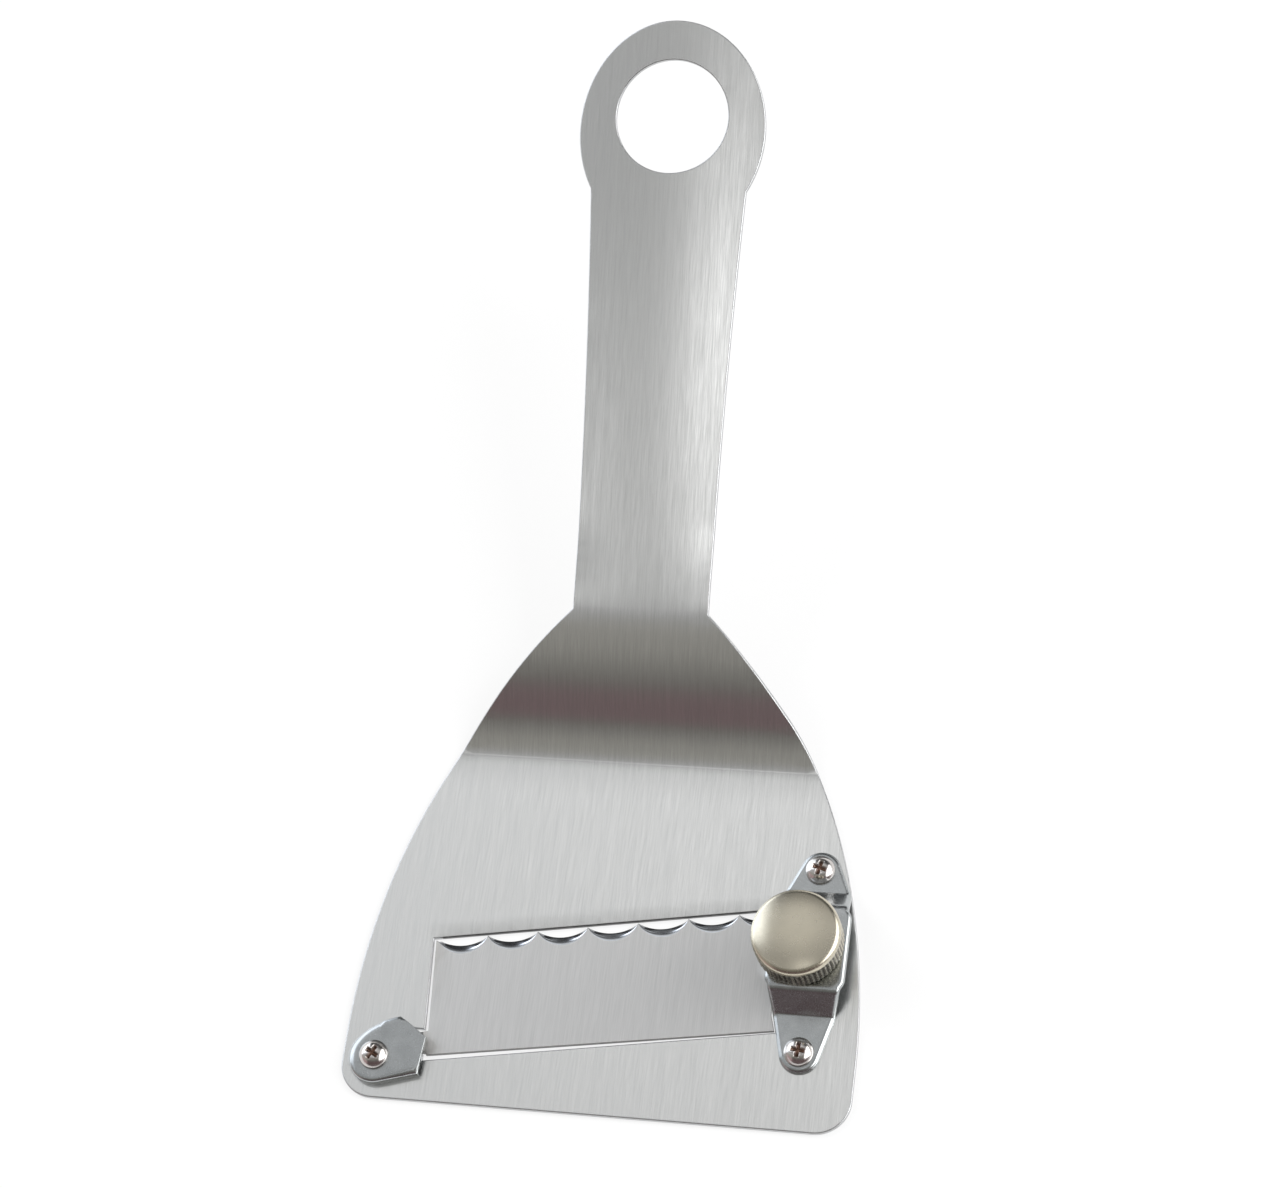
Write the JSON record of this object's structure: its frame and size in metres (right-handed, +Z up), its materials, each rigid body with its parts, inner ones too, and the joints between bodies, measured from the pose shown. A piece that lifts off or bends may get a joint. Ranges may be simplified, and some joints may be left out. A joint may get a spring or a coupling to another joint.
{
  "type": "truffle shaver",
  "caption": "Hand-held stainless truffle shaver: flat plate with a slanted scalloped blade, a knob that sets the slice thickness, and a raised handle with a hanging ring.",
  "frame": {"origin": "middle of the length and width, at the height of the plate's flat underside", "axes": "+Y from the plate to the handle and its ring, +Z up out of the plate's working face, +X to the knob's side"},
  "size_m": [0.088, 0.183, 0.0526],
  "materials": {
    "brushed_sheet": "stainless sheet brushed along the handle",
    "blade_steel": "brushed blade with ground bevels",
    "pressed_steel": "polished pressed strip",
    "screw_steel": "nickel plated",
    "nickel": "warm nickel plate, polished, knurled rim",
    "hidden_steel": "turned steel"
  },
  "bodies": {
    "frame": {"body_plate": "brushed_sheet", "blade_clip": "pressed_steel", "clip_screw": "screw_steel", "bridge": "pressed_steel", "bridge_screw_upper": "screw_steel", "bridge_screw_lower": "screw_steel", "thread_bush": "hidden_steel"},
    "cutter": {"blade": "blade_steel"},
    "lift": {"thrust_washer": "hidden_steel"},
    "adjuster": {"knob": "nickel", "adjuster_stem": "hidden_steel", "stem_clip": "hidden_steel"}
  },
  "joints": [
    {"name": "adjuster_lift", "type": "slide", "parent": "frame", "child": "lift", "axis": [0, 0, 1], "range_m": [0, 0.0014]},
    {"name": "knob_turn", "type": "hinge", "parent": "lift", "child": "adjuster", "pos_m": [0.0333, -0.06094, 0.0105], "axis": [0, 0, 1], "range_deg": [0, 720]},
    {"name": "blade_tilt", "type": "hinge", "parent": "frame", "child": "cutter", "pos_m": [-0.0379, -0.08474, 0.00155], "axis": [0, -1, 0], "range_deg": [0, 1.13]}
  ],
  "couplings": [
    {"joint": "adjuster_lift", "follows": "knob_turn", "m_per_rad": 0.0001114},
    {"joint": "blade_tilt", "follows": "knob_turn", "ratio": 0.001565}
  ]
}
